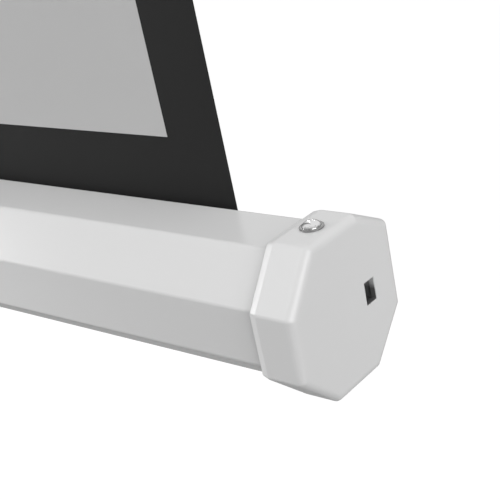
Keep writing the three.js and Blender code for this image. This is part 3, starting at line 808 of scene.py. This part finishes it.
quarter = math.pi / 2
to_front, to_back = (quarter, 0.0, 0.0), (-quarter, 0.0, 0.0)
seat_z = cap_high.z + 0.05 * mm
fasteners(
    "cap_screws",
    domed_head(
        radius=screw_radius,
        height=3.6 * mm,
        edge=0.6 * mm,
        shank=2.4 * mm,
        length=8.6 * mm,
        recess=1.9 * mm,
        depth=1.2 * mm,
        collar=1.3 * mm,
    ),
    [(screw.x, screw.y, seat_z) for screw in (screw_right, screw_left)],
    (0.0, 0.0, 0.4),
    screw_finish,
    "case",
    "chrome",
    ["cap_screw_right", "cap_screw_left"],
)

strip_thickness = 2.5 * mm
bracket_low, bracket_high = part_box("case_bracket")
flange_face = bracket_low.y + strip_thickness
flange_middle = 3.5 * mm
bracket_rivet_x = 54 * mm
fasteners(
    "bracket_rivets",
    domed_head(2.6 * mm, 1.3 * mm, 0.3 * mm, 1.4 * mm, 2.4 * mm, sides=20),
    [
        (x, flange_face, z)
        for x in (-bracket_rivet_x, bracket_rivet_x)
        for z in (bracket_low.z + flange_middle, bracket_high.z - flange_middle)
    ],
    to_back,
    zinc_plate,
    "case",
    "zinc",
)
hook_rivet = domed_head(2.2 * mm, 1.1 * mm, 0.3 * mm, 1.2 * mm, 2.4 * mm, sides=20)
hook_low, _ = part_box("slat_hook")
fasteners(
    "slat_hook_rivets",
    hook_rivet,
    [(x * mm, hook_low.y + strip_thickness, hook_low.z + 6 * mm) for x in (-9, 9)],
    to_back,
    zinc_plate,
    "slat",
    "zinc",
)
strip_low, strip_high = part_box("top_hook")
fasteners(
    "top_hook_rivets",
    hook_rivet,
    [(0, strip_high.y - strip_thickness, strip_low.z + z * mm) for z in (8, 22)],
    to_front,
    zinc_plate,
    "extension",
    "zinc",
)


def eased(node, width, segments=2):
    """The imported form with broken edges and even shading, for a moulded or pressed piece."""
    shape = bmesh.new()
    shape.from_mesh(nodes[node].data)
    bmesh.ops.remove_doubles(shape, verts=shape.verts, dist=0.004 * mm)
    flat = math.radians(0.6)
    bmesh.ops.dissolve_limit(shape, angle_limit=flat, verts=shape.verts, edges=shape.edges)
    material = nodes[node].data.materials[0]
    body, slot = body_of[node], slots[node]
    made = piece_of(f"{node}_eased", shape, material, body, slot, [node], 50, outwards=False)
    edges = made.modifiers.new("broken_edges", "BEVEL")
    edges.width = width * mm
    edges.segments = segments
    edges.limit_method = "ANGLE"
    edges.angle_limit = math.radians(50)
    edges.miter_outer = "MITER_ARC"
    made.modifiers.move(1, 0)
    return made


broken = {
    0.9: ["pole_clamp", "carriage"],
    0.6: ["leg_hub", "brace_collar", "pole_cap", "slat_cap_right", "slat_cap_left"],
    0.5: ["pole_plug", "pull_handle", "carry_handle", "clamp_knob", "carriage_knob"],
    0.4: ["top_hook", "slat_hook", "case_bracket", "swivel_bolt", "top_slat"],
    0.35: ["rear_brace", "right_brace", "left_brace", "swivel_washer"],
    0.3: ["rear_leg_pin", "right_leg_pin", "left_leg_pin", "outer_pole", "inner_pole"],
    0.28: ["rear_leg", "right_leg", "left_leg", "bearing_right", "bearing_left"],
    0.8: ["rear_foot", "right_foot", "left_foot"],
    0.32: ["rear_collar_rivet", "right_collar_rivet", "left_collar_rivet"],
    0.31: ["rear_brace_rivet", "right_brace_rivet", "left_brace_rivet"],
}
for width, members in broken.items():
    for node in members:
        eased(node, width)


def ribbing():
    """Tree for oval ribs set out along a leg, round the grip of its foot."""
    inputs = {"Wide": "Float", "Thin": "Float", "Corner": "Float", "Rib": "Float"}
    inputs.update(Count="Int", Step="Vector", Centre="Vector", Turned="Vector")
    ribs = Growth("foot_ribs", **inputs)
    tree, given = ribs.tree, ribs.given
    sizes = {"Width": given("Wide"), "Height": given("Thin")}
    oval = tree.node("GeometryNodeCurvePrimitiveQuadrilateral", {}, sizes)
    rounds = {"Curve": oval, "Count": 8, "Radius": given("Corner"), "Limit Radius": True}
    oval = tree.node("GeometryNodeFilletCurve", {"mode": "POLY"}, rounds)
    sizes = {"Resolution": 10, "Radius": given("Rib")}
    bead = tree.node("GeometryNodeCurvePrimitiveCircle", {}, sizes)
    rib = tree.node("GeometryNodeCurveToMesh", {}, {"Curve": oval, "Profile Curve": bead})
    run = {"Count": given("Count"), "Offset": given("Step")}
    line = tree.node("GeometryNodeMeshLine", {}, run)
    set_out = tree.node("GeometryNodeInstanceOnPoints", {}, {"Points": line, "Instance": rib})
    inputs = {"Geometry": set_out, "Translation": given("Centre"), "Rotation": given("Turned")}
    ribs.ends_with(tree.node("GeometryNodeTransform", {}, inputs))
    return ribs


rib_growth = ribbing()
pole_axis = centre_of("outer_pole")
foot_radius = 400 * mm
foot_wide, foot_thin = 29 * mm, 19 * mm
foot_corner = 9.2 * mm
rib_radius, rib_step, lowest_rib = 0.9 * mm, 4.5 * mm, 20 * mm
for word in ("rear", "right", "left"):
    pin = centre_of(f"{word}_leg_pin")
    outward = Vector((pin.x - pole_axis.x, pin.y - pole_axis.y, 0)).normalized()
    floor_point = Vector((pole_axis.x, pole_axis.y, 0)) + outward * foot_radius
    axis = (pin - floor_point).normalized()
    across = axis.cross(outward).normalized()
    wide = across.cross(axis)
    turned = Matrix((wide, across, axis)).transposed().to_euler()
    shape = rib_growth.grown(
        points_mesh([(0, 0, 0)]),
        Wide=foot_wide,
        Thin=foot_thin,
        Corner=foot_corner,
        Rib=rib_radius,
        Count=4,
        Step=(0.0, 0.0, rib_step),
        Centre=tuple(floor_point + axis * lowest_rib),
        Turned=tuple(turned),
        Finish=foot_rubber,
    )
    piece_of(f"{word}_foot_ribs", shape, foot_rubber, f"{word}_leg", "rubber", (), 50)


def light_paths(tree):
    """Shares of a ray that comes from the camera or through glass, and of one off a glossy face."""
    names = ("Is Camera Ray", "Is Transmission Ray", "Is Glossy Ray")
    paths = [tree.node("ShaderNodeLightPath", {}, {}, name) for name in names]
    return paths[0].maths("MAXIMUM", paths[0], paths[1]), paths[2]


def stage():
    """Pale floor and sky: white to the camera and in reflections, softer as light."""
    bpy.ops.mesh.primitive_plane_add(size=60)
    floor = bpy.context.object
    floor.name = "floor"
    material = bpy.data.materials.new("pale_floor")
    material.use_nodes = True
    tree = Tree(material.node_tree)
    tree.made.nodes.clear()
    seen, reflected = light_paths(tree)
    plain = tree.node("ShaderNodeBsdfDiffuse", {}, {"Color": grey(floor_shade)})
    glow = tree.node("ShaderNodeEmission", {}, {"Color": grey(1.0), "Strength": 1.0})
    shaded = tree.node("ShaderNodeBsdfDiffuse", {}, {"Color": grey(shadow_shade)})
    facts = {"Color": grey(1.0), "Strength": backdrop_strength}
    backdrop = tree.node("ShaderNodeEmission", {}, facts)
    pale = tree.node("ShaderNodeAddShader", {}, {0: backdrop, 1: shaded})
    shader = tree.node("ShaderNodeMixShader", {}, {0: seen, 1: plain, 2: pale})
    share = reflected * floor_in_gloss
    shader = tree.node("ShaderNodeMixShader", {}, {0: share, 1: shader, 2: glow})
    output = tree.made.nodes.new("ShaderNodeOutputMaterial")
    tree.made.links.new(shader.link, output.inputs["Surface"])
    floor.data.materials.append(material)

    world = bpy.data.worlds.new("studio")
    world.use_nodes = True
    bpy.context.scene.world = world
    tree = Tree(world.node_tree)
    tree.made.nodes.clear()
    seen, reflected = light_paths(tree)
    height = tree.parts(tree.node("ShaderNodeTexCoord", {}, {}, "Generated"))[2]
    overhead = tree.ramp(height, sky_in_gloss)
    strength = seen + reflected * overhead + (1 - seen - reflected) * sky_light
    sky = tree.node("ShaderNodeBackground", {}, {"Color": grey(1.0), "Strength": strength})
    output = tree.made.nodes.new("ShaderNodeOutputWorld")
    tree.made.links.new(sky.link, output.inputs["Surface"])


floor_shade = 0.31
floor_in_gloss = 0.3
shadow_shade = 0.12
backdrop_strength = 0.96
sky_in_gloss = [(0.08, 0.3), (0.36, 1.0)]
sky_light = 0.39
stage()


def lamp(name, direction, distance, size, power, mirrored, lights=True):
    """A soft square lamp that points at the right end of the case."""
    light = bpy.data.lights.new(name, "AREA")
    light.shape = "SQUARE"
    light.size = size
    light.energy = power
    made = bpy.data.objects.new(name, light)
    bpy.context.scene.collection.objects.link(made)
    aim = Vector((cap_high.x, case_centre.y, case_centre.z))
    made.location = aim + Vector(direction).normalized() * distance
    made.rotation_mode = "QUATERNION"
    made.rotation_quaternion = (aim - made.location).to_track_quat("-Z", "Y")
    made.visible_glossy = mirrored
    made.visible_diffuse = lights
    made.visible_camera = False


# Direction from the right end of the case, distance, size, power, whether it shows in
# reflections, and whether it lights matt faces
lamps = {
    "lamp_left": ((-0.5, -0.55, 0.67), 3, 1.4, 19, False),
    "lamp_right": ((0.87, -0.38, 0.30), 3, 2.4, 59, True),
    "lamp_far_left": ((-0.9, -0.35, 0.25), 3, 0.9, 22, True),
    "lamp_above": ((0.1, 0, 1), 3, 1.4, 15, False),
    "card_low_left": ((-0.83, -0.31, -0.46), 1.5, 0.6, 1.5, True, False),
    "card_right": ((0.75, 0.66, -0.08), 0.25, 0.12, 0.06, False),
}
for name, facts in lamps.items():
    lamp(name, *facts)


focal_length = 1121.4 / 500


def camera():
    """The photograph's view of the right end of the case, without shift."""
    data = bpy.data.cameras.new("camera")
    data.sensor_width = 36
    data.lens = focal_length * data.sensor_width
    made = bpy.data.objects.new("camera", data)
    bpy.context.scene.collection.objects.link(made)
    face = Vector((cap_high.x, case_centre.y, case_centre.z))
    made.location = face + Vector((291.5, -358.2, 240.4)) * mm
    right = Vector((0.7615, 0.6193, -0.1914)).normalized()
    forward = Vector((-0.6368, 0.6594, -0.3996))
    up = right.cross(forward).normalized()
    forward = up.cross(right)
    made.rotation_mode = "QUATERNION"
    made.rotation_quaternion = Matrix((right, up, -forward)).transposed().to_quaternion()
    bpy.context.scene.camera = made


camera()
bpy.context.scene.view_settings.view_transform = "Standard"
